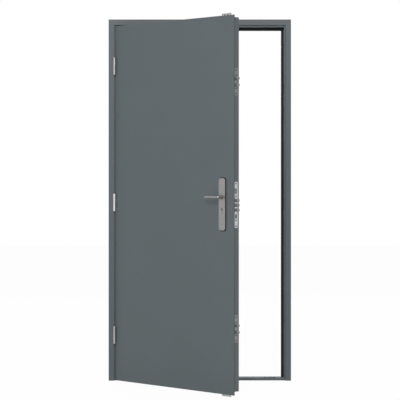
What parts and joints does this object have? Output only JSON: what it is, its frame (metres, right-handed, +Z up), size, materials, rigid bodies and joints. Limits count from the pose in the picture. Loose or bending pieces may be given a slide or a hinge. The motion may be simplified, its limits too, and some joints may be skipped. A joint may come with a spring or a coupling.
{
  "type": "steel utility door",
  "caption": "Single-leaf steel utility door standing ajar in a folded steel frame, with butt hinges, lever handles and a multi-point lock with round bolts thrown.",
  "frame": {"origin": "middle of the threshold's underside, at half the frame's width and depth", "axes": "+X from the hinge jamb to the lock jamb, +Y into the building, away from the side the leaf opens to, +Z up"},
  "size_m": [1.02, 0.7774, 2.03],
  "materials": {
    "frame_paint": "grey powder coat",
    "leaf_paint": "grey powder coat",
    "seal_rubber": "matt black",
    "lock_steel": "bright nickelled",
    "zinc_steel": "dull zinc",
    "bolt_steel": "turned steel",
    "handle_steel": "satin",
    "hinge_steel": "satin",
    "cylinder_nickel": "satin nickel"
  },
  "bodies": {
    "frame": {"lock_jamb": "frame_paint", "hinge_jamb": "frame_paint", "frame_head": "frame_paint", "threshold": "frame_paint", "lock_jamb_seal": "seal_rubber", "hinge_jamb_seal": "seal_rubber", "head_seal": "seal_rubber", "upper_hinge_frame_plate": "hinge_steel", "middle_hinge_frame_plate": "hinge_steel", "lower_hinge_frame_plate": "hinge_steel", "upper_hinge_pin": "hinge_steel", "middle_hinge_pin": "hinge_steel", "lower_hinge_pin": "hinge_steel"},
    "leaf": {"leaf_outer_skin": "leaf_paint", "leaf_inner_tray": "leaf_paint", "main_faceplate": "lock_steel", "upper_faceplate": "zinc_steel", "lower_faceplate": "zinc_steel", "top_faceplate": "zinc_steel", "foot_faceplate": "zinc_steel", "outside_handle_plate": "handle_steel", "inside_handle_plate": "handle_steel", "key_cylinder": "cylinder_nickel", "upper_hinge_leaf_plate": "hinge_steel", "middle_hinge_leaf_plate": "hinge_steel", "lower_hinge_leaf_plate": "hinge_steel"},
    "levers": {"outside_lever": "handle_steel", "inside_lever": "handle_steel", "spindle": "zinc_steel"},
    "latch": {"latch_bolt": "bolt_steel"},
    "main_bolts": {"main_bolts": "bolt_steel"},
    "upper_bolts": {"upper_bolts": "bolt_steel"},
    "lower_bolts": {"lower_bolts": "bolt_steel"},
    "top_bolts": {"top_bolts": "bolt_steel"},
    "foot_bolts": {"foot_bolts": "bolt_steel"}
  },
  "joints": [
    {"name": "leaf_swing", "type": "hinge", "parent": "frame", "child": "leaf", "pos_m": [-0.47675, -0.048, 0], "axis": [0, 0, -1], "range_deg": [-47, 118]},
    {"name": "lever_turn", "type": "hinge", "parent": "leaf", "child": "levers", "pos_m": [0.11988, -0.67608, 1.033], "axis": [-0.7314, -0.682, 0], "range_deg": [0, 40], "stiffness_Nm_per_rad": 2, "springref_deg": -20.05},
    {"name": "latch_slide", "type": "slide", "parent": "leaf", "child": "latch", "axis": [-0.682, 0.7314, 0], "range_m": [0, 0.012]},
    {"name": "bolt_throw", "type": "slide", "parent": "leaf", "child": "main_bolts", "axis": [0.682, -0.7314, 0], "range_m": [-0.02, 0]},
    {"name": "upper_bolt_throw", "type": "slide", "parent": "leaf", "child": "upper_bolts", "axis": [0.682, -0.7314, 0], "range_m": [-0.02, 0]},
    {"name": "lower_bolt_throw", "type": "slide", "parent": "leaf", "child": "lower_bolts", "axis": [0.682, -0.7314, 0], "range_m": [-0.02, 0]},
    {"name": "top_bolt_throw", "type": "slide", "parent": "leaf", "child": "top_bolts", "axis": [0, 0, 1], "range_m": [-0.025, 0]},
    {"name": "foot_bolt_throw", "type": "slide", "parent": "leaf", "child": "foot_bolts", "axis": [0, 0, -1], "range_m": [-0.03, 0]}
  ],
  "couplings": [
    {"joint": "latch_slide", "follows": "lever_turn", "m_per_rad": 0.017188},
    {"joint": "upper_bolt_throw", "follows": "bolt_throw", "ratio": 1},
    {"joint": "lower_bolt_throw", "follows": "bolt_throw", "ratio": 1},
    {"joint": "top_bolt_throw", "follows": "bolt_throw", "ratio": 1.25},
    {"joint": "foot_bolt_throw", "follows": "bolt_throw", "ratio": 1.5}
  ]
}
